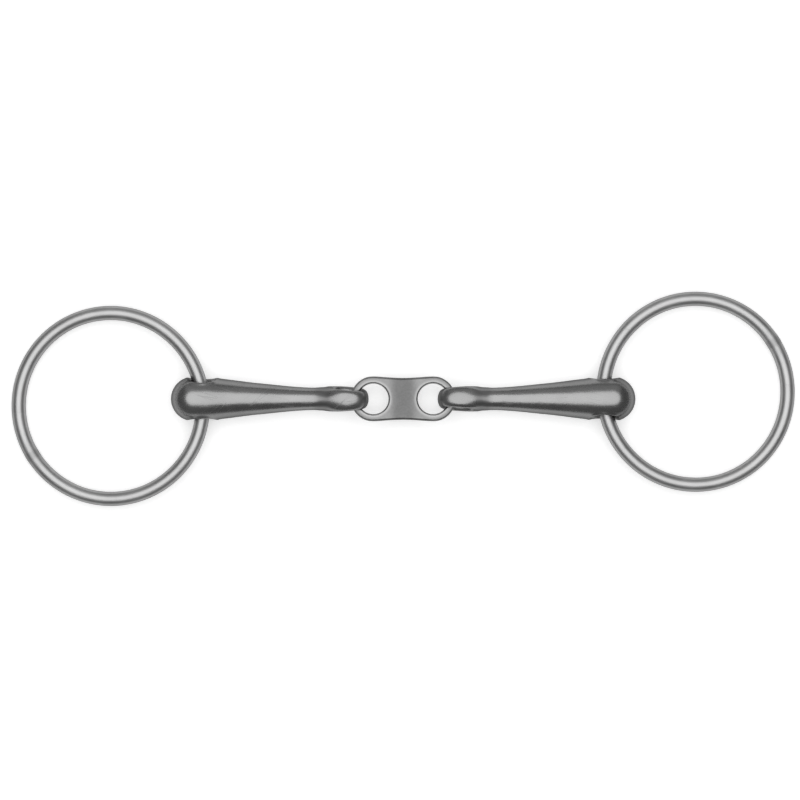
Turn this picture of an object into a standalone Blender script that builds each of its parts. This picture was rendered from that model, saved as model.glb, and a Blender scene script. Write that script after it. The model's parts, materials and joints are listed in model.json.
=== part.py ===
"""A loose-ring snaffle bit with a double-jointed mouthpiece.

Two tapered steel arms hook into a flat link with two eyes, and a round wire ring runs
through a hole in the outer end of each arm. The bit lies on a flat surface at z = 0, with
the middle of the link over the origin, +X towards the right ring and +Y along the ring holes.
The two sides are the same castings and the same rings, half a turn apart about Z.
"""

from math import asin, atan2, copysign, cos, hypot, pi, radians, sin, sqrt, tan

import bmesh
import bpy
from mathutils import Euler, Matrix, Vector

MM = 0.001

# The rings.
RING_OUTER_DIAMETER = 70 * MM
RING_WIRE_DIAMETER = 5 * MM

# The mouthpiece, measured from ring hole to ring hole, and its round, tapered arms.
MOUTH_WIDTH = 140 * MM
BUTT_DIAMETER = 15.5 * MM
BUTT_REACH = 11 * MM  # from the ring hole's middle to the rounded end
NECK_DIAMETER = 7.8 * MM
NECK_LENGTH = 3 * MM  # from the eye to the neck's narrowest place
ARM_TAPER = ((0.5, 0.40), (0.8, 0.78))  # share of the way from neck to ring hole, share of the swell

# The eye at the inner end of each arm: an upright oval loop.
EYE_LENGTH = 15 * MM
EYE_HEIGHT = 12.4 * MM
EYE_SQUARENESS = 2.5  # 2 would make the loop an ellipse
EYE_SHOULDER = 2.5 * MM  # how far the outside of the loop runs on into the neck
EYE_BAR = 3.2 * MM  # the loop's thickness in its own plane
EYE_TIP_WIDTH = 6 * MM  # the loop's width along its hole, inside the link
EYE_ROOT_WIDTH = 8 * MM  # the same beside the neck

# The flat link between the arms.
LINK_EYE_SPACING = 20.8 * MM
LINK_HOLE_DIAMETER = 10.6 * MM
LINK_RIM = 2.6 * MM
LINK_WAIST = 13.4 * MM
LINK_THICKNESS = 3 * MM
LINK_EDGE_RADIUS = 0.8 * MM

# Clearances of the loose fits.
JOINT_GAP = 0.4 * MM  # between an arm's eye and the link's rim when the bit is pulled straight
RING_PLAY = 0.4 * MM  # round the wire at the throat of the ring hole
TOUCHING_GAP = 0.3 * MM  # between pieces that would touch

# How the loose pieces lie: the arms rolled and the rings skewed in the play of their holes.
ARM_ROLL = radians(8)
RING_SKEW = radians(4.4)

# Fineness of the round shapes.
RING_SIDES = 64
WIRE_SIDES = 12
ARM_SIDES = 24
EYE_SIDES = 36
TAPER_STEPS = 4  # between two stations of the taper
BUTT_STEPS = 7
HOLE_SIDES = 24
HOLE_STEPS = 8
LINK_END_STEPS = 20
LINK_WAIST_STEPS = 8
MERGE = 0.01 * MM
NOSE_SHARE = 0.7  # radius of the cannon's blunt nose inside the eye's bar, against the neck's
EDGE_LIMIT = 0.45  # the most that an edge radius may take of the wall it rounds

ring_radius = (RING_OUTER_DIAMETER - RING_WIRE_DIAMETER) / 2  # to the middle of the wire
wire_radius = RING_WIRE_DIAMETER / 2
butt_radius = BUTT_DIAMETER / 2
eye_radius = (EYE_LENGTH - EYE_BAR) / 2
link_pivot = LINK_EYE_SPACING / 2
link_eye_radius = LINK_HOLE_DIAMETER / 2 + LINK_RIM
axis_height = max(BUTT_DIAMETER, EYE_HEIGHT) / 2

# Places along an arm, from the middle of the link's eye, which is its hinge.
eye_middle = LINK_HOLE_DIAMETER / 2 - JOINT_GAP - EYE_BAR + EYE_LENGTH / 2
neck_at = eye_middle + EYE_LENGTH / 2 + NECK_LENGTH
ring_hole_at = MOUTH_WIDTH / 2 - link_pivot

# The far side of a ring rests on the same surface as the arm that holds it.
ring_slope = asin((axis_height - wire_radius) / (2 * ring_radius))
ring_lean = hypot(ARM_ROLL, RING_SKEW)  # the largest angle between the wire and the hole


def clear_scene():
    for obj in list(bpy.data.objects):
        bpy.data.objects.remove(obj)


def new_collection(name):
    collection = bpy.data.collections.new(name)
    bpy.context.scene.collection.children.link(collection)
    return collection


def steel(name, colour, roughness):
    material = bpy.data.materials.new(name)
    material.use_nodes = True
    shader = material.node_tree.nodes["Principled BSDF"]
    shader.inputs["Base Color"].default_value = (*colour, 1)
    shader.inputs["Metallic"].default_value = 1
    shader.inputs["Roughness"].default_value = roughness
    return material


def add_object(name, mesh, collection):
    obj = bpy.data.objects.new(name, mesh)
    collection.objects.link(obj)
    return obj


def make_cutter(obj):
    obj.hide_render = True
    obj.display_type = "WIRE"


def mesh_from(name, vertices, edges=(), faces=()):
    mesh = bpy.data.meshes.new(name)
    mesh.from_pydata([tuple(v) for v in vertices], list(edges), list(faces))
    return mesh


def turned(name, profile, sides, collection):
    """A closed round solid about local Z, from (radius, height) points that run down its side."""
    points = [(radius, 0, height) for radius, height in profile]
    edges = [(i, i + 1) for i in range(len(points) - 1)]
    obj = add_object(name, mesh_from(name, points, edges), collection)
    screw = obj.modifiers.new("turn", "SCREW")
    screw.axis = "Z"
    screw.angle = 2 * pi
    screw.steps = sides
    screw.render_steps = sides
    screw.use_merge_vertices = True
    screw.merge_threshold = MERGE
    return obj


def boolean(obj, other, operation):
    modifier = obj.modifiers.new(operation.lower(), "BOOLEAN")
    modifier.operation = operation
    modifier.solver = "EXACT"
    modifier.object = other


def evaluated_mesh(obj, name):
    """The object's mesh with its modifiers, in world space."""
    depsgraph = bpy.context.evaluated_depsgraph_get()
    mesh = bpy.data.meshes.new_from_object(obj.evaluated_get(depsgraph))
    mesh.transform(obj.matrix_world)
    mesh.name = name
    return mesh


def smooth_mesh(mesh, material):
    mesh.materials.clear()
    mesh.materials.append(material)
    mesh.shade_smooth()
    mesh.set_sharp_from_angle(angle=radians(40))
    return mesh


def eased_through(stations, steps):
    """Points on a smooth curve through (x, y) stations, level at the first and the last."""
    slopes = [0]
    for before, after in zip(stations, stations[2:]):
        slopes.append((after[1] - before[1]) / (after[0] - before[0]))
    slopes.append(0)
    points = []
    for (x0, y0), (x1, y1), m0, m1 in zip(stations, stations[1:], slopes, slopes[1:]):
        span = x1 - x0
        for step in range(steps):
            t = step / steps
            rise = (3 * t**2 - 2 * t**3) * (y1 - y0)
            bend = span * (m0 * (t**3 - 2 * t**2 + t) + m1 * (t**3 - t**2))
            points.append((x0 + t * span, y0 + rise + bend))
    points.append(stations[-1])
    return points


def ring_mesh():
    """A welded ring of round wire, flat in local XY, with its wire crossing the origin along Y."""
    bpy.ops.mesh.primitive_torus_add(
        major_radius=ring_radius,
        minor_radius=wire_radius,
        major_segments=RING_SIDES,
        minor_segments=WIRE_SIDES,
    )
    torus = bpy.context.object
    mesh = torus.data
    bpy.data.objects.remove(torus)
    mesh.transform(Matrix.Translation((ring_radius, 0, 0)))
    mesh.name = "ring"
    return mesh


def cannon_profile():
    """(radius, distance from the hinge) from the butt's rounded end down to inside the eye."""
    neck_radius = NECK_DIAMETER / 2
    swell = butt_radius - neck_radius
    taper = ring_hole_at - neck_at
    stations = [(neck_at, neck_radius)]
    stations += [(neck_at + way * taper, neck_radius + share * swell) for way, share in ARM_TAPER]
    stations += [(ring_hole_at, butt_radius)]
    side = [(radius, x) for x, radius in eased_through(stations, TAPER_STEPS)]

    root = eye_middle + eye_radius  # the middle of the eye's bar, where the neck ends
    blunt = neck_radius * NOSE_SHARE
    nose = [(0, root - EYE_BAR / 4), (blunt, root), (neck_radius, root + EYE_BAR / 2)]

    end = ring_hole_at + BUTT_REACH
    dome = end - butt_radius
    angles = [i * pi / 2 / BUTT_STEPS for i in range(BUTT_STEPS + 1)]
    cap = [(butt_radius * cos(a), dome + butt_radius * sin(a)) for a in angles]
    cap[-1] = (0, end)
    return list(reversed(nose + side + cap))


def oval_point(spot):
    """Where a point of a round loop about the local Y axis goes on the oval one."""
    angle = atan2(spot.z, spot.x)
    depth = hypot(spot.x, spot.z) - eye_radius
    rise = (EYE_HEIGHT - EYE_BAR) / 2 + depth
    run = eye_radius + depth
    if spot.x > 0 and depth > 0:
        run += depth * EYE_SHOULDER / (EYE_BAR / 2)
    bend = 2 / EYE_SQUARENESS
    way = min(max((spot.x / eye_radius + 1) / 2, 0), 1)
    width = EYE_TIP_WIDTH + (EYE_ROOT_WIDTH - EYE_TIP_WIDTH) * way
    x = copysign(run * abs(cos(angle)) ** bend, spot.x)
    z = copysign(rise * abs(sin(angle)) ** bend, spot.z)
    return Vector((eye_middle + x, spot.y * width / EYE_BAR, z))


def eye_loop(cutters):
    """The loop at an arm's inner end, standing in local XZ and wider beside the neck."""
    bpy.ops.mesh.primitive_torus_add(
        major_radius=eye_radius,
        minor_radius=EYE_BAR / 2,
        major_segments=EYE_SIDES,
        minor_segments=WIRE_SIDES,
    )
    loop = bpy.context.object
    loop.name = "eye_loop"
    loop.data.transform(Matrix.Rotation(pi / 2, 4, "X"))
    for vertex in loop.data.vertices:
        vertex.co = oval_point(vertex.co)
    for collection in loop.users_collection:
        collection.objects.unlink(loop)
    cutters.objects.link(loop)
    return loop


def ring_hole_radius(y):
    """Room for the ring's curve and lean at a distance y from the middle of its hole."""
    curve = ring_radius - sqrt(ring_radius**2 - y**2)
    lean = hypot(y * tan(ring_lean), RING_PLAY)
    return wire_radius + curve + lean + TOUCHING_GAP


def arm_mesh(cutters):
    """One arm along +X from its hinge: the cannon, its eye and its bell-mouthed ring hole."""
    cannon = turned("cannon", cannon_profile(), ARM_SIDES, cutters)
    cannon.matrix_world = Matrix.Rotation(pi / 2, 4, "Y")

    reach = butt_radius + TOUCHING_GAP
    heights = [reach * (1 - i / HOLE_STEPS) for i in range(2 * HOLE_STEPS + 1)]
    wall = [(ring_hole_radius(h), h) for h in heights]
    hole = turned("ring_hole", [(0, reach)] + wall + [(0, -reach)], HOLE_SIDES, cutters)
    hole.matrix_world = Matrix.Translation((ring_hole_at, 0, 0)) @ Matrix.Rotation(pi / 2, 4, "X")

    eye = eye_loop(cutters)
    boolean(cannon, eye, "UNION")
    boolean(cannon, hole, "DIFFERENCE")
    bpy.context.view_layer.update()
    mesh = evaluated_mesh(cannon, "arm")
    for guide in (cannon, eye, hole):
        make_cutter(guide)
    return mesh


def link_outline():
    """Points round the link: a half circle at each end and an eased waist along each side."""
    waist_drop = link_eye_radius - LINK_WAIST / 2
    ends = [i * pi / LINK_END_STEPS - pi / 2 for i in range(LINK_END_STEPS)]
    half = [(link_pivot + link_eye_radius * cos(a), link_eye_radius * sin(a)) for a in ends]
    for i in range(2 * LINK_WAIST_STEPS):
        x = link_pivot * (1 - i / LINK_WAIST_STEPS)
        y = link_eye_radius - waist_drop * cos(pi / 2 * x / link_pivot) ** 2
        half.append((x, y))
    return half + [(-x, -y) for x, y in half]


def link_plate(cutters, collection, material):
    """The flat link, lying in XY about its own middle, with a round hole in each end."""
    shape = bmesh.new()
    rim = [shape.verts.new((x, y, -LINK_THICKNESS / 2)) for x, y in link_outline()]
    bottom = shape.faces.new(rim)
    raised = bmesh.ops.extrude_face_region(shape, geom=[bottom])["geom"]
    top = [item for item in raised if isinstance(item, bmesh.types.BMVert)]
    bmesh.ops.translate(shape, verts=top, vec=(0, 0, LINK_THICKNESS))
    bmesh.ops.recalc_face_normals(shape, faces=shape.faces)
    mesh = bpy.data.meshes.new("french_link")
    shape.to_mesh(mesh)
    shape.free()
    link = add_object("french_link", smooth_mesh(mesh, material), collection)

    for side in (1, -1):
        bpy.ops.mesh.primitive_cylinder_add(
            radius=LINK_HOLE_DIAMETER / 2,
            depth=2 * LINK_THICKNESS,
            vertices=2 * LINK_END_STEPS,
            location=(side * link_pivot, 0, 0),
        )
        hole = bpy.context.object
        hole.name = "link_hole"
        for holder in hole.users_collection:
            holder.objects.unlink(hole)
        cutters.objects.link(hole)
        hole.parent = link
        make_cutter(hole)
        boolean(link, hole, "DIFFERENCE")
    edges = link.modifiers.new("rounded_edges", "BEVEL")
    edges.width = min(LINK_EDGE_RADIUS, LINK_THICKNESS * EDGE_LIMIT, LINK_RIM * EDGE_LIMIT)
    edges.segments = 2
    edges.limit_method = "ANGLE"
    edges.angle_limit = radians(60)
    edges.use_clamp_overlap = False
    link.location = (0, 0, axis_height)
    return link


def build():
    clear_scene()
    parts = new_collection("snaffle_bit")
    cutters = new_collection("cutters")
    ring_steel = steel("ring_steel", (0.60, 0.60, 0.60), 0.16)
    arm_steel = steel("arm_steel", (0.58, 0.58, 0.58), 0.12)
    link_steel = steel("link_steel", (0.50, 0.50, 0.49), 0.28)

    link_plate(cutters, parts, link_steel)
    arm = smooth_mesh(arm_mesh(cutters), arm_steel)
    ring = smooth_mesh(ring_mesh(), ring_steel)
    for side, turn in (("right", 0), ("left", pi)):
        arm_piece = add_object(f"{side}_arm", arm, parts)
        arm_piece.location = Matrix.Rotation(turn, 3, "Z") @ Vector((link_pivot, 0, axis_height))
        arm_piece.rotation_euler = Euler((-ARM_ROLL, 0, turn))

        ring_piece = add_object(f"{side}_ring", ring, parts)
        hole = Vector((MOUTH_WIDTH / 2, 0, axis_height))
        ring_piece.location = Matrix.Rotation(turn, 3, "Z") @ hole
        ring_piece.rotation_euler = Euler((0, ring_slope, turn + RING_SKEW))


build()
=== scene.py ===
"""A loose-ring snaffle bit in polished stainless steel, lying on a pale studio floor."""

import json
from math import atan2, copysign, cos, exp, hypot, pi, radians, sin, sqrt

import bmesh
import bpy
from mathutils import Matrix, Vector


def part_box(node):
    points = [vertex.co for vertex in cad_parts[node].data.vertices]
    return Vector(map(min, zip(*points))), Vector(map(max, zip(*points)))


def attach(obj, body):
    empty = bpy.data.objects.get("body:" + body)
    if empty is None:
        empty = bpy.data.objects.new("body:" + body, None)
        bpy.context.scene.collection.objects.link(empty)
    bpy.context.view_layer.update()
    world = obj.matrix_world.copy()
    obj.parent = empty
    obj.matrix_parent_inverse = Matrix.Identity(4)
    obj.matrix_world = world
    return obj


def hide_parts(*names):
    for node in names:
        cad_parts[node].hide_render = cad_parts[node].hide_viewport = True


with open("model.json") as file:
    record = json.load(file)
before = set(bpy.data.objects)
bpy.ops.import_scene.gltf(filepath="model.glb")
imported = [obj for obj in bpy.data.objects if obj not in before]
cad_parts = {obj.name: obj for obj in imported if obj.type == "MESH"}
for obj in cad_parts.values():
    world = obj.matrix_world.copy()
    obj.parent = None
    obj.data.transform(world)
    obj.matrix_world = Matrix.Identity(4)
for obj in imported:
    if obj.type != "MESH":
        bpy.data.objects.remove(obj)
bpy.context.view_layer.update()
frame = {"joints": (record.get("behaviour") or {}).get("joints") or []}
joints = {joint["name"]: joint for joint in frame["joints"]}
MM = 0.001


# ---- The middle link ---------------------------------------------------------------------------
# A flat steel plate, stamped and tumbled to a soft grey satin, with a round hole in each end and an
# eased waist between them. Each hole holds one arm's eye, which rubs its rim bright.

LINK_HOLE_RADIUS = 5.3 * MM
LINK_WAIST = 13.4 * MM
LINK_EDGE = 0.85 * MM
LINK_CAGE_SIDES = 16

link_low, link_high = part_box("french_link")
link_pivot = joints["right_arm_fold"]["pos_m"][0]
link_eye_radius = (link_high.y - link_low.y) / 2
link_thickness = link_high.z - link_low.z


def cage_share(sides):
    """How far out a smoothed cage of that many sides lies, as a share of the cage's radius."""
    return (2 + cos(2 * pi / sides)) / 3


def open_piece(name):
    """Names the new primitive, puts its place in its mesh and opens it for editing."""
    piece = bpy.context.object
    piece.name = name
    bpy.ops.object.transform_apply(location=True, rotation=True, scale=True)
    bpy.ops.object.mode_set(mode="EDIT")
    return piece


def choose(piece, kind, wanted):
    """Selects the vertices, edges or faces of the open piece that pass a test."""
    bpy.ops.mesh.select_mode(type=kind)
    bpy.ops.mesh.select_all(action="DESELECT")
    shape = bmesh.from_edit_mesh(piece.data)
    shape.normal_update()
    for item in {"VERT": shape.verts, "EDGE": shape.edges, "FACE": shape.faces}[kind]:
        item.select_set(wanted(item))
    shape.select_flush(True)
    bmesh.update_edit_mesh(piece.data)


def move_points(piece, place, wanted=None):
    """Moves the open piece's vertices that pass a test to where place() puts them."""
    shape = bmesh.from_edit_mesh(piece.data)
    for vertex in shape.verts:
        if wanted is None or wanted(vertex):
            vertex.co = place(vertex.co)
    bmesh.update_edit_mesh(piece.data)


def apply_modifier(piece, kind, **settings):
    """Adds a modifier with these settings and applies it."""
    modifier = piece.modifiers.new(kind.lower(), kind)
    for name, value in settings.items():
        setattr(modifier, name, value)
    bpy.context.view_layer.objects.active = piece
    bpy.ops.object.modifier_apply(modifier=modifier.name)


def close_piece(piece, smooth_levels):
    """Closes the edit, rounds the cage off and leaves smooth faces that point outwards."""
    bpy.ops.mesh.select_all(action="SELECT")
    bpy.ops.mesh.normals_make_consistent(inside=False)
    bpy.ops.object.mode_set(mode="OBJECT")
    if smooth_levels:
        apply_modifier(piece, "SUBSURF", levels=smooth_levels, render_levels=smooth_levels)
    piece.data.shade_smooth()


class Wire:
    """A node's output: sums on it add Math nodes, and node() adds a node of any other kind."""

    def __init__(self, socket):
        self.socket = socket

    def node(self, kind, settings, sockets, output=0):
        tree = self.socket.id_data
        made = tree.nodes.new(kind)
        for name, value in settings.items():
            setattr(made, name, value)
        for name, value in sockets.items():
            if isinstance(value, Wire):
                tree.links.new(value.socket, made.inputs[name])
            else:
                made.inputs[name].default_value = value
        return Wire(made.outputs[output])

    def math(self, operation, first, second=0.0):
        return self.node("ShaderNodeMath", {"operation": operation}, {0: first, 1: second})

    def __add__(self, other):
        return self.math("ADD", self, other)

    __radd__ = __add__

    def __sub__(self, other):
        return self.math("SUBTRACT", self, other)

    def __rsub__(self, other):
        return self.math("SUBTRACT", other, self)

    def __mul__(self, other):
        return self.math("MULTIPLY", self, other)

    __rmul__ = __mul__

    def __abs__(self):
        return self.math("ABSOLUTE", self)

    def parts(self):
        """The x, y and z of a place."""
        return [self.node("ShaderNodeSeparateXYZ", {}, {"Vector": self}, i) for i in range(3)]

    def place(self, x, y, z):
        """A place made of three numbers."""
        return self.node("ShaderNodeCombineXYZ", {}, {"X": x, "Y": y, "Z": z})

    def far(self, other):
        """The length of the slope whose two sides these are."""
        return self.math("POWER", self * self + other * other, 0.5)

    def rise(self, low, high):
        """0 up to low, 1 from high on, and eased between them."""
        ends = {"Value": self, "From Min": low, "From Max": high}
        return self.node("ShaderNodeMapRange", {"interpolation_type": "SMOOTHSTEP"}, ends)

    def noise(self, grain, detail=2.0):
        """Soft clouds about 0.5 whose lumps are about grain across."""
        sockets = {"Vector": self, "Scale": 0.5 / grain, "Detail": detail}
        return self.node("ShaderNodeTexNoise", {}, sockets)

    def stretched(self, x, y, z, turn=0.0):
        """The same places with each axis drawn out, so that a pattern on them forms lines."""
        turned = {"Vector": self, "Rotation": (0, 0, turn)}
        spots = self.node("ShaderNodeMapping", {}, turned) if turn else self
        return self.node("ShaderNodeMapping", {}, {"Vector": spots, "Scale": (1 / x, 1 / y, 1 / z)})

    def hairlines(self, apart, turn=0.0, length=6 * MM):
        """Thin straight scratches that far apart, at an angle to the x axis: 1 on a scratch."""
        drawn_out = self.stretched(30, 1, 30, turn).noise(apart, 0.0)
        lines = 1 - abs(drawn_out - 0.5).rise(0.003, 0.010)
        return lines * self.noise(length, 1.0).rise(0.50, 0.58)

    def pits(self, spacing, across):
        """Small round hollows that many apart or more, 1 inside them."""
        sockets = {"Vector": self, "Scale": 1 / spacing}
        near = self.node("ShaderNodeTexVoronoi", {}, sockets, "Distance")
        holes = 1 - near.rise(0.3 * across / spacing, 0.5 * across / spacing)
        return holes * self.noise(4 * spacing, 0.0).rise(0.50, 0.56)

    def tone(self, dark, light):
        """A grey between two, from 0 to 1."""
        ends = {0: self, 6: (dark, dark, dark, 1), 7: (light, light, light, 1)}
        return self.node("ShaderNodeMix", {"data_type": "RGBA"}, ends, 2)

    def relief(self, depth, over=None):
        """A surface that stands out by this much of depth, on top of another relief."""
        sockets = {"Strength": 1.0, "Distance": depth, "Height": self}
        if over is not None:
            sockets["Normal"] = over
        return self.node("ShaderNodeBump", {}, sockets)


def steel(name, **looks):
    """A bare metal and the places on its piece: looks are its shader's own constants."""
    metal = bpy.data.materials.new(name)
    metal.use_nodes = True
    shader = metal.node_tree.nodes["Principled BSDF"]
    shader.inputs["Metallic"].default_value = 1
    for socket, value in looks.items():
        shader.inputs[socket.replace("_", " ").title()].default_value = value
    spots = Wire(shader.outputs[0]).node("ShaderNodeTexCoord", {}, {}, "Object")
    return metal, spots


def finish(metal, **wires):
    """Links the wires to the metal's shader."""
    shader = metal.node_tree.nodes["Principled BSDF"]
    for socket, wire in wires.items():
        metal.node_tree.links.new(wire.socket, shader.inputs[socket.replace("_", " ").title()])


bpy.ops.object.select_all(action="DESELECT")
bpy.ops.mesh.primitive_circle_add(
    vertices=LINK_CAGE_SIDES,
    radius=LINK_HOLE_RADIUS / cage_share(LINK_CAGE_SIDES),
    location=(link_pivot, 0, link_low.z),
)
link = open_piece("middle_link")
bpy.ops.mesh.select_all(action="SELECT")
bpy.ops.mesh.extrude_edges_move()
bpy.ops.transform.resize(
    value=[link_eye_radius / LINK_HOLE_RADIUS] * 2 + [1], center_override=(link_pivot, 0, 0)
)
rim_reach = link_eye_radius / cage_share(LINK_CAGE_SIDES)


def on_inner_rim(edge):
    spots = [vertex.co - Vector((link_pivot, 0, link_low.z)) for vertex in edge.verts]
    return all(spot.x < 0.01 * MM and spot.length > 0.99 * rim_reach for spot in spots)


# The rim's inner half runs on as the web to the middle of the waist, and the rest is mirrored.
choose(link, "EDGE", on_inner_rim)
bpy.ops.mesh.extrude_edges_move()
bpy.ops.transform.resize(
    value=(0, LINK_WAIST / 2 / link_eye_radius, 1), center_override=(0, 0, link_low.z)
)
bpy.ops.object.mode_set(mode="OBJECT")
apply_modifier(link, "MIRROR", use_axis=(True, False, False), merge_threshold=0.01 * MM)
bpy.ops.object.mode_set(mode="EDIT")
bpy.ops.mesh.select_all(action="SELECT")
bpy.ops.mesh.extrude_region_move(TRANSFORM_OT_translate={"value": (0, 0, link_thickness)})
bpy.ops.mesh.select_all(action="SELECT")
bpy.ops.mesh.normals_make_consistent(inside=False)
bpy.ops.mesh.select_all(action="DESELECT")
bpy.ops.mesh.select_mode(type="EDGE")
bpy.ops.mesh.edges_select_sharp(sharpness=radians(60))
bpy.ops.mesh.bevel(offset=LINK_EDGE, segments=2, profile=0.6)
close_piece(link, 3)
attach(link, "link")
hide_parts("french_link")

satin, spots = steel("tumbled_satin_steel", specular_tint=(0.5, 0.5, 0.5, 1))
x, y, z = spots.parts()
from_hole = (abs(x) - link_pivot).far(y)
rubbed = 1 - from_hole.rise(LINK_HOLE_RADIUS + 0.3 * MM, LINK_HOLE_RADIUS + 1.7 * MM)
# The middle of the waist is made rougher, and its colour is darkened there as painted shade.
dull_shaded_web = 1 - abs(x).rise(2 * MM, 6 * MM)
clouds = spots.noise(3 * MM, 3.0)
tumbling = spots.noise(0.35 * MM, 3.0)
nicks = spots.pits(1.1 * MM, 0.30 * MM)
finish(
    satin,
    base_color=(0.5 * clouds + 0.2 * tumbling + 0.5 * rubbed - 0.25 * dull_shaded_web).tone(0.12, 0.35),
    roughness=0.30 + 0.14 * clouds + 0.08 * dull_shaded_web - 0.10 * rubbed + 0.06 * nicks,
    normal=nicks.relief(-0.01 * MM, tumbling.relief(0.02 * MM, clouds.relief(0.16 * MM))),
)
link.data.materials.append(satin)


# ---- The arms ----------------------------------------------------------------------------------
# Each arm is one investment casting: a rounded butt with a bell-mouthed ring hole, a cannon that
# tapers to a neck, and an oval eye closed round the link's rim. It is belted lengthwise and buffed.

EYE_LENGTH = 15 * MM
EYE_HEIGHT = 12.4 * MM
EYE_SQUARENESS = 2.5
EYE_SHOULDER = 2.5 * MM
EYE_BAR = 3.2 * MM
EYE_TIP_WIDTH = 6 * MM
EYE_ROOT_WIDTH = 8 * MM
EYE_GAP = 0.4 * MM
NECK_RADIUS = 3.9 * MM
NECK_LENGTH = 3 * MM
BUTT_RADIUS = 7.75 * MM
BUTT_REACH = 11 * MM
ARM_ROLL = radians(8)
CANNON_SIDES = 8
EYE_CAGE_SIDES = 12
# The opening of the eye where the neck runs into it: how far back, half its width and height.
OPENING_SETBACK = 2.9 * MM
OPENING_HALF_WIDTH = 4.05 * MM
OPENING_HALF_HEIGHT = 4.66 * MM
NECK_END = 0.7 * MM
NECK_END_SWELL = 0.17 * MM
DOME_CROWN = 0.35 * MM
# The ring hole: the patch of the cage kept for it, its mouths, its throat and its rounded lip.
HOLE_PATCH = 6.5 * MM
MOUTH_RADIUS = 4.7 * MM
MOUTH_INSET = 1.2 * MM
MOUTH_DEPTH = 6 * MM
TUNNEL_REACH = 5.2 * MM
THROAT_RADIUS = 3.15 * MM
LIP_START = 4.9 * MM
LIP_WIDTH = 1.4 * MM
# Share of the way from neck to ring hole, share of the swell reached there, and its slope.
TAPER = ((0, 0, 0), (0.5, 0.40, 0.975), (0.8, 0.78, 1.2), (1, 1, 0))

right_hinge = Vector(joints["right_arm_fold"]["pos_m"])
ring_hole = Vector(joints["right_ring_swing"]["pos_m"])
hole_at = (ring_hole - right_hinge).length
eye_middle = LINK_HOLE_RADIUS - EYE_GAP - EYE_BAR + EYE_LENGTH / 2
neck_at = eye_middle + EYE_LENGTH / 2 + NECK_LENGTH
dome_at = hole_at + BUTT_REACH - BUTT_RADIUS


def cage_through(stations, rounds=30):
    """Control points of a smooth line that runs through the stations, with its ends held."""
    controls = [Vector(s) for s in stations]
    for _ in range(rounds):
        for i in range(1, len(controls) - 1):
            reached = (controls[i - 1] + 4 * controls[i] + controls[i + 1]) / 6
            controls[i] += Vector(stations[i]) - reached
    return controls


def cannon_radius(x):
    """The turned radius at a distance from the hinge: level at the neck, full at the ring hole."""
    way = min(max((x - neck_at) / (hole_at - neck_at), 0), 1)
    for (w0, r0, slope0), (w1, r1, slope1) in zip(TAPER, TAPER[1:]):
        if way <= w1:
            t = (way - w0) / (w1 - w0)
            bend = slope0 * (t**3 - 2 * t**2 + t) + slope1 * (t**3 - t**2)
            share_out = r0 + (3 * t**2 - 2 * t**3) * (r1 - r0) + (w1 - w0) * bend
            return NECK_RADIUS + share_out * (BUTT_RADIUS - NECK_RADIUS)


def station(way):
    """(distance from the hinge, radius) at a share of the way from the neck to the ring hole."""
    x = neck_at + way * (hole_at - neck_at)
    return (x, cannon_radius(x))


def dome(degrees):
    """A station on the butt's rounded end, at an angle from its shoulder."""
    a = radians(degrees)
    return (dome_at + BUTT_RADIUS * sin(a), BUTT_RADIUS * cos(a))


patch_way = 1 - HOLE_PATCH / (hole_at - neck_at)
stations = [(neck_at - NECK_END, NECK_RADIUS + NECK_END_SWELL)]
stations += [station(way) for way in (0.035, 0.16, 0.32, 0.50, 0.68, patch_way, 1)]
patch_end = (hole_at + HOLE_PATCH - dome_at) / BUTT_RADIUS * 180 / pi
stations += [dome(patch_end), dome(50), dome(72)]
cage = cage_through(stations)
share = cage_share(CANNON_SIDES)

bpy.ops.object.select_all(action="DESELECT")
bpy.ops.mesh.primitive_circle_add(
    vertices=CANNON_SIDES,
    radius=cage[0].y / share,
    location=(cage[0].x, 0, 0),
    rotation=(0, pi / 2, 0),
)
arm = open_piece("right_cannon")
bpy.ops.mesh.select_all(action="SELECT")
for here, after in zip(cage, cage[1:]):
    bpy.ops.mesh.extrude_edges_move(TRANSFORM_OT_translate={"value": (after.x - here.x, 0, 0)})
    swell = after.y / here.y
    bpy.ops.transform.resize(value=(1, swell, swell), center_override=(0, 0, 0))
bpy.ops.mesh.edge_face_add()
bpy.ops.mesh.inset(thickness=cage[-1].y * 0.5)
bpy.ops.transform.translate(value=(DOME_CROWN, 0, 0))
bpy.ops.object.mode_set(mode="OBJECT")

# The eye starts as a round loop, opened where the neck runs into it, and is then made oval.
bpy.ops.object.select_all(action="DESELECT")
around = cage_share(EYE_CAGE_SIDES)
loop_radius = (EYE_LENGTH - EYE_BAR) / 2
bpy.ops.mesh.primitive_torus_add(
    location=(eye_middle, 0, 0),
    rotation=(pi / 2, 0, 0),
    major_segments=EYE_CAGE_SIDES,
    minor_segments=CANNON_SIDES,
    major_radius=loop_radius,
    minor_radius=EYE_BAR / 2,
)
eye = open_piece("eye")


def faces_the_neck(face):
    return face.normal.x > 0.8 and face.calc_center_median().x > eye_middle


def oval(spot):
    """Where a point of the round loop goes on the oval one's cage."""
    across = spot.x - eye_middle
    angle = atan2(spot.z, across)
    depth = (hypot(across, spot.z) - loop_radius) / share
    run = (loop_radius + depth) / around
    if across > 0 and depth > 0:
        run += depth * EYE_SHOULDER / (EYE_BAR / 2)
    rise = ((EYE_HEIGHT - EYE_BAR) / 2 + depth) / around
    bend = 1.12 if across > 0 and depth > 0 else 2 / EYE_SQUARENESS
    way = min(max((across / loop_radius + 1) / 2, 0), 1)
    width = EYE_TIP_WIDTH + (EYE_ROOT_WIDTH - EYE_TIP_WIDTH) * way
    return Vector((
        eye_middle + copysign(run * abs(cos(angle)) ** bend, across),
        spot.y * width / EYE_BAR / share / around,
        copysign(rise * abs(sin(angle)) ** bend, spot.z),
    ))


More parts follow.
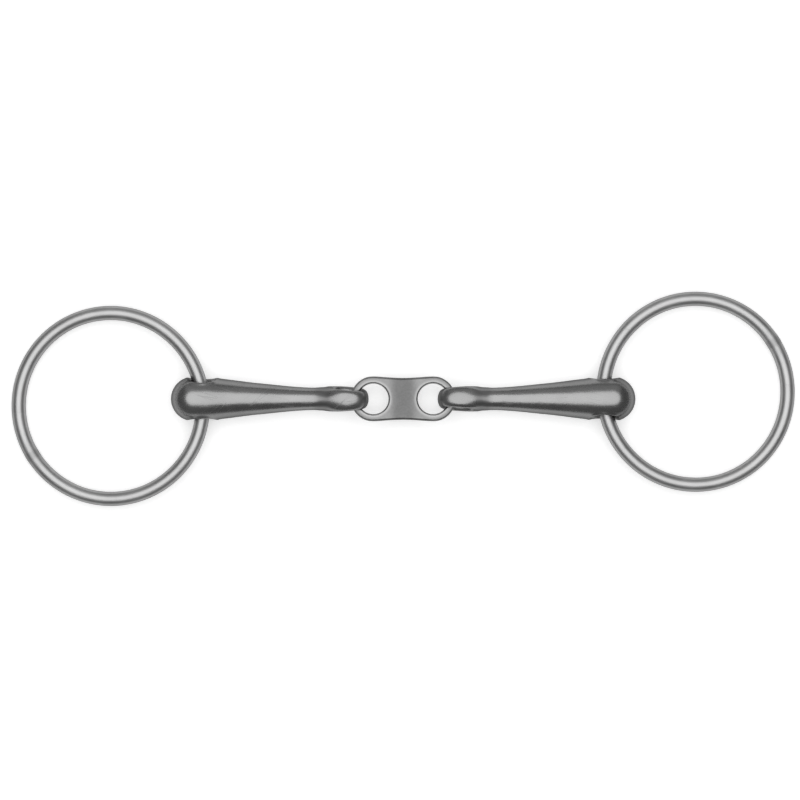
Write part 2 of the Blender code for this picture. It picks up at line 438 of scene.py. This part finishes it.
def shoulder(spot):
    """Where a point of the eye's opening goes on the oval that meets the neck."""
    angle = round(atan2(spot.z, spot.y) / (pi / 4)) * pi / 4
    out, up = OPENING_HALF_WIDTH * cos(angle), OPENING_HALF_HEIGHT * sin(angle)
    return Vector((neck_at - OPENING_SETBACK, out / share, up / share))


choose(eye, "FACE", faces_the_neck)
bpy.ops.mesh.delete(type="FACE")
move_points(eye, oval)
move_points(eye, shoulder, lambda vertex: vertex.is_boundary)
bpy.ops.object.mode_set(mode="OBJECT")
arm.select_set(True)
bpy.context.view_layer.objects.active = arm
bpy.ops.object.join()
bpy.ops.object.mode_set(mode="EDIT")
choose(arm, "EDGE", lambda edge: edge.is_boundary)
bpy.ops.mesh.bridge_edge_loops()


# The ring hole is a tunnel between two round mouths in the butt's sides.
def is_mouth(face):
    return abs(face.normal.y) > 0.75 and abs(face.calc_center_median().x - hole_at) < HOLE_PATCH


def round_mouth(spot):
    """Where a point of a mouth's edge goes on the saddle where the hole meets the butt."""
    across = Vector((spot.x - hole_at, 0, spot.z)).normalized() * MOUTH_RADIUS / share
    height = sqrt((BUTT_RADIUS * 1.04) ** 2 - (across.z * 0.95) ** 2)
    return Vector((hole_at + across.x, copysign(height, spot.y), across.z))


def in_hole(vertex):
    across = hypot(vertex.co.x - hole_at, vertex.co.z)
    return abs(vertex.co.y) < TUNNEL_REACH and across < MOUTH_RADIUS / share + 0.05 * MM


def bell(spot):
    """Where a point of the tunnel goes, so that it flares from the throat to the mouths."""
    flare = (spot.y / MOUTH_DEPTH) ** 2
    radius = (THROAT_RADIUS + (MOUTH_RADIUS - THROAT_RADIUS) * flare) / share
    across = Vector((spot.x - hole_at, 0, spot.z)).normalized() * radius
    return Vector((hole_at + across.x, spot.y, across.z))


choose(arm, "FACE", is_mouth)
bpy.ops.mesh.inset(thickness=MOUTH_INSET)
bpy.ops.mesh.delete(type="FACE")
move_points(arm, round_mouth, lambda vertex: vertex.is_boundary)
choose(arm, "EDGE", lambda edge: edge.is_boundary)
bpy.ops.mesh.bridge_edge_loops(number_cuts=5)
move_points(arm, bell, in_hole)
close_piece(arm, 3)


def turned_true(spot):
    """Puts a point of the cannon exactly on its round, tapered surface, clear of the hole's lip."""
    lip = min(max((hypot(spot.x - hole_at, spot.z) - LIP_START) / LIP_WIDTH, 0), 1)
    ease = lip * lip * (3 - 2 * lip) if spot.x > neck_at + 1 * MM else 0
    middle = Vector((min(spot.x, dome_at), 0, 0))
    round_out = (spot - middle).normalized() * cannon_radius(middle.x)
    return spot.lerp(middle + round_out, ease)


for vertex in arm.data.vertices:
    vertex.co = turned_true(vertex.co)

polished, spots = steel("buffed_casting_steel", specular_tint=(0.3, 0.3, 0.3, 1))
x, y, z = spots.parts()
along = abs(x) - link_pivot
eye_rub = 1 - along.rise(3.5 * MM, 6.5 * MM)
from_ring_hole = (along - hole_at).far(z - right_hinge.z)
hole_rub = 1 - from_ring_hole.rise(MOUTH_RADIUS - 0.6 * MM, MOUTH_RADIUS + 1.2 * MM)
# Painted shade: the colour is darkened in a band round the neck where it runs into the eye, as if
# in shadow there; the same band is also a little rougher.
neck_painted_shade = 1 - abs(along - (neck_at - 2 * MM)).rise(1 * MM, 4 * MM)
clouds = spots.noise(7 * MM, 2.0)
belting = spots.stretched(14, 1, 1).noise(0.11 * MM, 3.0)
hairlines = spots.hairlines(0.8 * MM)
hairlines += spots.hairlines(1.2 * MM, radians(14), 4 * MM)
hairlines += spots.hairlines(1.5 * MM, radians(-40), 3 * MM)
pits = spots.pits(2.2 * MM, 0.15 * MM)
worn = 0.7 * eye_rub + 0.5 * hole_rub
finish(
    polished,
    base_color=(0.6 * clouds + 0.2 * belting + 0.2 * worn - 0.25 * neck_painted_shade).tone(0.17, 0.32),
    roughness=0.18 + 0.07 * clouds + 0.10 * belting + 0.12 * (worn + hairlines) + 0.05 * neck_painted_shade,
    normal=pits.relief(-0.006 * MM, belting.relief(0.006 * MM, clouds.relief(0.20 * MM))),
)
arm.data.materials.append(polished)

left_arm = arm.copy()
left_arm.data = arm.data.copy()
left_arm.name = "left_cannon"
bpy.context.collection.objects.link(left_arm)
for piece, side, turn in ((arm, "right", 0), (left_arm, "left", pi)):
    hinge = Matrix.Translation(joints[f"{side}_arm_fold"]["pos_m"])
    piece.data.transform(hinge @ Matrix.Rotation(turn, 4, "Z") @ Matrix.Rotation(-ARM_ROLL, 4, "X"))
    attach(piece, f"{side}_arm")
    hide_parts(f"{side}_arm")


# ---- The rings ---------------------------------------------------------------------------------
# Each ring is a length of drawn stainless wire, bent round, put through the butt's hole and butt
# welded. The weld is dressed back almost flush, so it shows only as a slight swelling.

WIRE_RADIUS = 2.5 * MM
RING_RADIUS = 32.5 * MM
WIRE_SIDES = 32
RING_STEPS = 224
WELD_ANGLE = radians(152)
WELD_SWELL = 0.07 * MM
WELD_LENGTH = 1.8 * MM


def swell_at_weld(spot):
    """Thickens the wire round the weld."""
    outward = Vector((spot.x, spot.y, 0)).normalized()
    off = (atan2(spot.y, spot.x) - WELD_ANGLE) * RING_RADIUS / WELD_LENGTH
    middle = outward * RING_RADIUS
    return middle + (spot - middle) * (1 + WELD_SWELL / WIRE_RADIUS * exp(-off * off))


for side in ("right", "left"):
    hole = Vector(joints[f"{side}_ring_swing"]["pos_m"])
    along = Vector(joints[f"{side}_ring_swing"]["axis"]).normalized()
    low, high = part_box(f"{side}_ring")
    inward = (hole - (low + high) / 2).normalized()
    axis = along.cross(inward).normalized()
    place = Matrix((inward, axis.cross(inward), axis)).transposed().to_4x4()
    place.translation = hole - inward * RING_RADIUS

    bpy.ops.object.select_all(action="DESELECT")
    upright = (pi / 2, 0, 0)
    bpy.ops.mesh.primitive_circle_add(vertices=WIRE_SIDES, radius=WIRE_RADIUS, rotation=upright)
    ring = open_piece(f"{side}_wire_ring")
    bpy.ops.mesh.select_all(action="SELECT")
    bpy.ops.transform.translate(value=(RING_RADIUS, 0, 0))
    bpy.ops.mesh.spin(steps=RING_STEPS, angle=2 * pi, center=(0, 0, 0), axis=(0, 0, 1))
    bpy.ops.mesh.select_all(action="SELECT")
    bpy.ops.mesh.remove_doubles(threshold=0.001 * MM)
    move_points(ring, swell_at_weld)
    close_piece(ring, 0)
    ring.data.transform(place)

    drawn, spots = steel(f"{side}_drawn_wire_steel", specular_tint=(0.3, 0.3, 0.3, 1))
    centred = {"Vector": spots, "Location": place.translation, "Rotation": place.to_euler()}
    spots = spots.node("ShaderNodeMapping", {"vector_type": "TEXTURE"}, centred)
    x, y, z = spots.parts()
    round_ring = spots.math("ARCTAN2", y, x) * RING_RADIUS
    spots = spots.place(round_ring, x.far(y) - RING_RADIUS, z)
    from_weld = abs(round_ring - WELD_ANGLE * RING_RADIUS)
    weld = 1 - from_weld.rise(0.8 * MM, 2.2 * MM)
    dressed = 1 - from_weld.rise(3 * MM, 7 * MM)
    clouds = spots.noise(6 * MM, 2.0)
    drawing = spots.stretched(30, 1, 1).noise(0.10 * MM, 3.0)
    scuffs = spots.hairlines(0.7 * MM) + spots.hairlines(1.0 * MM, radians(55), 2 * MM)
    finish(
        drawn,
        base_color=(0.6 * clouds + 0.3 * drawing - 0.3 * weld).tone(0.27, 0.50),
        roughness=0.31 + 0.08 * clouds + 0.08 * drawing + 0.10 * scuffs + 0.06 * dressed,
        normal=scuffs.relief(-0.002 * MM, drawing.relief(0.005 * MM, clouds.relief(0.10 * MM))),
    )
    ring.data.materials.append(drawn)
    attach(ring, f"{side}_ring")
    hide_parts(f"{side}_ring")


# ---- Floor, light and camera -------------------------------------------------------------------
# The bit lies on a matt white table, faintly lit from below, under one large round softbox and a
# weak card on the far side, with dim walls round it. The camera looks straight down.

TABLE_GLOW = 0.42
LAMP_HEIGHT = 1.5
CAMERA_HEIGHT = 1.165

bpy.ops.object.select_all(action="DESELECT")
bpy.ops.mesh.primitive_plane_add(size=24, location=(0, 0, -0.2 * MM))
floor = bpy.context.object
floor.name = "floor"
board = bpy.data.materials.new("white_table")
board.use_nodes = True
matt = board.node_tree.nodes["Principled BSDF"].inputs
matt["Base Color"].default_value = (0.80, 0.80, 0.80, 1)
matt["Roughness"].default_value = 0.9
matt["Emission Color"].default_value = (1, 1, 1, 1)
matt["Emission Strength"].default_value = TABLE_GLOW
floor.data.materials.append(board)

bpy.ops.object.light_add(type="AREA", location=(0, 0.12, LAMP_HEIGHT))
softbox = bpy.context.object
softbox.name = "overhead_softbox"
softbox.data.shape = "DISK"
softbox.data.size = 2.2
softbox.data.energy = 24
softbox.visible_camera = False

bpy.ops.object.light_add(type="AREA", location=(0, 1.6, 1.0), rotation=(radians(-58), 0, 0))
fill_card = bpy.context.object
fill_card.name = "fill_card"
fill_card.data.shape = "RECTANGLE"
fill_card.data.size = 2.6
fill_card.data.size_y = 1.3
fill_card.data.energy = 3
fill_card.visible_camera = False

walls = bpy.data.worlds.new("dim_studio")
bpy.context.scene.world = walls
walls.use_nodes = True
walls.node_tree.nodes["Background"].inputs["Color"].default_value = (0.2, 0.2, 0.2, 1)

bpy.ops.object.camera_add(location=(-1.1 * MM, -0.4 * MM, CAMERA_HEIGHT), rotation=(0, 0, 0))
camera = bpy.context.object
camera.data.lens = 149.3
camera.data.sensor_width = 36
bpy.context.scene.camera = camera
bpy.context.scene.view_settings.view_transform = "Standard"
